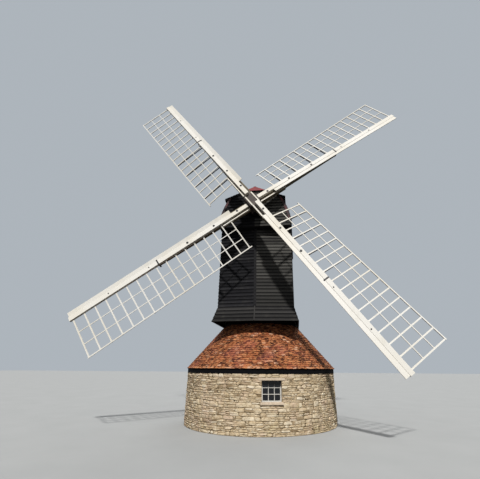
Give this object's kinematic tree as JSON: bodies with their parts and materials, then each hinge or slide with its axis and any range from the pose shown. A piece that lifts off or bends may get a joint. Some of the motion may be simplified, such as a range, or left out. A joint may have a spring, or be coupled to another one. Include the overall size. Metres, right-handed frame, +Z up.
{
  "type": "windmill",
  "caption": "Post mill: a black boarded body that turns on a timber post above a round stone roundhouse with a conical clay tile roof, with white lattice sails.",
  "frame": {"origin": "on the ground under the middle of the overall length and width; the post's axis stands 2.3059 m in front of it, at y -2.3059", "axes": "+Z up along the post, the sails and the breast face -Y, +X is to the right for a viewer in front who looks along +Y"},
  "size_m": [14.3562, 13.7297, 16.0616],
  "materials": {
    "limestone": "rough",
    "clay_tile": "matt",
    "black_boards": "matt",
    "white_paint": "satin",
    "stock_timber": "matt",
    "red_paint": "satin",
    "oak": "rough",
    "iron": "matt",
    "glass": "clear",
    "sill_stone": "rough",
    "pier_brick": "rough"
  },
  "bodies": {
    "roundhouse": {"wall_front": "limestone", "wall_front_right": "limestone", "wall_rear_right": "limestone", "wall_rear": "limestone", "wall_rear_left": "limestone", "wall_front_left": "limestone", "roundhouse_roof": "clay_tile", "eaves_fascia": "black_boards", "window_frame": "white_paint", "window_glass": "glass", "window_sill": "sill_stone", "window_lintel": "oak", "roundhouse_door": "black_boards", "door_frame": "white_paint", "post": "oak", "crosstree_lower": "oak", "crosstree_upper": "oak", "quarter_bars": "oak", "trestle_piers": "pier_brick"},
    "buck": {"breast_wall": "black_boards", "breast_trim": "black_boards", "side_wall_right": "black_boards", "side_wall_left": "black_boards", "front_gable": "black_boards", "tail_wall": "black_boards", "tail_door": "black_boards", "petticoat": "black_boards", "sheers": "oak", "buck_floor": "oak", "crown_tree": "oak", "weather_beam": "black_boards", "tail_beam": "oak", "neck_bearing": "iron", "tail_bearing": "iron", "lower_roof": "black_boards", "upper_roof": "black_boards", "front_bargeboards": "red_paint", "tail_bargeboards": "red_paint", "tail_stage": "oak", "ladder_strings": "oak", "ladder_treads": "oak", "tailpole": "oak"},
    "sails": {"stock_front": "stock_timber", "stock_rear": "stock_timber", "stock_clamps": "white_paint", "whips": "white_paint", "leading_boards": "white_paint", "backstays": "iron", "sail_upper_right": "white_paint", "sail_upper_left": "white_paint", "sail_lower_left": "white_paint", "sail_lower_right": "white_paint", "poll_end": "iron", "windshaft": "oak"}
  },
  "joints": [
    {"name": "buck_turn", "type": "hinge", "parent": "roundhouse", "child": "buck", "pos_m": [0, -2.3059, 6.56], "axis": [0, 0, 1], "continuous": true},
    {"name": "sails_spin", "type": "hinge", "parent": "buck", "child": "sails", "pos_m": [0, -5.4409, 8.893], "axis": [0, -0.99, 0.1409], "continuous": true}
  ]
}
